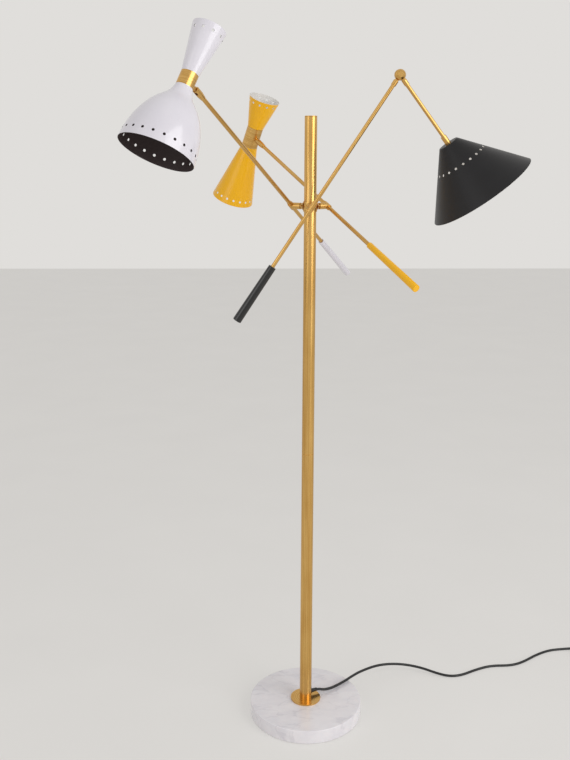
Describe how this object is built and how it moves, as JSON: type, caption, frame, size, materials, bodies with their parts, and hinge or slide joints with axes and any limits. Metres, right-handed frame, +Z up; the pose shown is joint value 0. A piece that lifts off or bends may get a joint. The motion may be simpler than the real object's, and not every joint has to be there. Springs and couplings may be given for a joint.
{
  "type": "floor lamp",
  "caption": "Free-standing floor lamp: marble disc foot, slim brass pole and balanced arms on a hub, one with an elbow and a wide cone shade, the others with double-ended tilting shades.",
  "frame": {"origin": "on the floor, at the axis of the pole, in the middle of the felt under the marble foot", "axes": "+Z up along the pole; the black arm swings in the XZ plane and reaches towards +X; +Y is to the back, as the picture sees the lamp"},
  "size_m": [1.415, 1.0087, 1.8035],
  "materials": {
    "marble": "polished",
    "felt": "matte",
    "brass": "satin",
    "steel": "satin",
    "cord_black": "matte",
    "plug_black": "matte",
    "black_paint": "satin",
    "white_paint": "gloss",
    "yellow_paint": "satin",
    "black_shade_metal": "satin",
    "white_shade_metal": "gloss",
    "yellow_shade_metal": "satin",
    "holder_plastic": "matte",
    "bulb_opal": "gloss"
  },
  "bodies": {
    "stand": {"floor_pad": "felt", "marble_base": "marble", "tie_rod": "steel", "base_flange": "brass", "lower_pole": "brass", "pole_coupler": "brass", "upper_pole": "brass", "hub_collar": "brass", "cord_bush": "plug_black", "inner_cable": "cord_black", "cord_lead": "cord_black", "cord_coil": "cord_black", "cord_tie": "plug_black", "plug": "plug_black"},
    "black_arm": {"black_rod": "brass", "black_counterweight": "black_paint"},
    "black_lower_arm": {"black_forearm": "brass", "black_shade": "black_shade_metal", "black_lampholder": "holder_plastic", "black_bulb": "bulb_opal"},
    "white_arm": {"white_rod": "brass", "white_counterweight": "white_paint"},
    "white_swivel": {"white_tongue": "brass"},
    "white_head": {"white_collar": "brass", "white_big_shade": "white_shade_metal", "white_small_shade": "white_shade_metal", "white_lampholders": "holder_plastic", "white_bulbs": "bulb_opal"},
    "yellow_arm": {"yellow_rod": "brass", "yellow_counterweight": "yellow_paint"},
    "yellow_swivel": {"yellow_tongue": "brass"},
    "yellow_head": {"yellow_collar": "brass", "yellow_big_shade": "yellow_shade_metal", "yellow_small_shade": "yellow_shade_metal", "yellow_lampholders": "holder_plastic", "yellow_bulbs": "bulb_opal"}
  },
  "joints": [
    {"name": "black_arm_tilt", "type": "hinge", "parent": "stand", "child": "black_arm", "pos_m": [0, -0.053, 1.382], "axis": [0, -1, 0], "range_deg": [-51, 18]},
    {"name": "black_elbow", "type": "hinge", "parent": "black_arm", "child": "black_lower_arm", "pos_m": [0.21629, -0.053, 1.71252], "axis": [0, -1, 0], "range_deg": [-25, 95]},
    {"name": "white_arm_tilt", "type": "hinge", "parent": "stand", "child": "white_arm", "pos_m": [-0.0459, 0.0265, 1.382], "axis": [-0.866, 0.5, 0], "range_deg": [-25, 44]},
    {"name": "white_head_tilt", "type": "hinge", "parent": "white_arm", "child": "white_swivel", "pos_m": [-0.27286, -0.3666, 1.65366], "axis": [-0.866, 0.5, 0], "range_deg": [-45, 45]},
    {"name": "white_head_roll", "type": "hinge", "parent": "white_swivel", "child": "white_head", "pos_m": [-0.27286, -0.3666, 1.65366], "axis": [-0.4415, -0.7647, 0.4695], "range_deg": [-90, 90]},
    {"name": "yellow_arm_tilt", "type": "hinge", "parent": "stand", "child": "yellow_arm", "pos_m": [0.0459, 0.0265, 1.382], "axis": [0.866, 0.5, 0], "range_deg": [-20, 49]},
    {"name": "yellow_head_tilt", "type": "hinge", "parent": "yellow_arm", "child": "yellow_swivel", "pos_m": [-0.12542, 0.32324, 1.54397], "axis": [0.866, 0.5, 0], "range_deg": [-45, 45]},
    {"name": "yellow_head_roll", "type": "hinge", "parent": "yellow_swivel", "child": "yellow_head", "pos_m": [-0.12542, 0.32324, 1.54397], "axis": [-0.455, 0.788, 0.4147], "range_deg": [-90, 90]}
  ]
}
